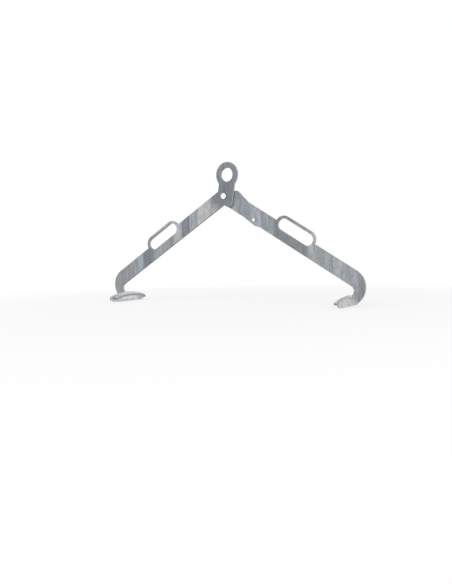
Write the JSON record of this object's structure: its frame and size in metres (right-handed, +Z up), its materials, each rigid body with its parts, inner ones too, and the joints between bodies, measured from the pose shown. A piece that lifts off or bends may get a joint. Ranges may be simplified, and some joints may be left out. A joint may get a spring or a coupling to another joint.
{
  "type": "scissor drum clamp",
  "caption": "Scissor clamp that lifts a drum lying on its side: bent plate arms with hand slots pivot on a pin below a lifting eye and end in curved rim jaws.",
  "frame": {"origin": "on the surface that the jaws stand on, below the pivot, at the middle of the box round the clamp", "axes": "+X along the drum from the left arm to the right arm, +Y across the drum away from the viewer, +Z up"},
  "size_m": [0.9962, 0.19, 0.4755],
  "materials": {
    "galvanised_steel": "hot-dip galvanised plate, dull grey with bands and spangle",
    "jaw_steel": "galvanised, brighter and streaked by rubbing on rims",
    "weld_metal": "galvanised weld bead, rippled",
    "bright_steel": "bright turned steel",
    "plain_washer": "zinc plated"
  },
  "bodies": {
    "left_half": {"left_arm": "galvanised_steel", "left_jaw_face": "jaw_steel", "left_jaw_foot": "jaw_steel", "left_arm_weld": "weld_metal", "left_foot_weld": "weld_metal", "pivot_pin": "bright_steel", "spacer_washer": "plain_washer", "end_washer": "plain_washer", "split_pin": "plain_washer"},
    "right_half": {"right_arm": "galvanised_steel", "right_jaw_face": "jaw_steel", "right_jaw_foot": "jaw_steel", "right_arm_weld": "weld_metal", "right_foot_weld": "weld_metal", "stop_pin": "bright_steel"}
  },
  "joints": [
    {"name": "scissor_pivot", "type": "hinge", "parent": "left_half", "child": "right_half", "pos_m": [0, 0, 0.364], "axis": [0, -1, 0], "range_deg": [-99, 40]}
  ]
}
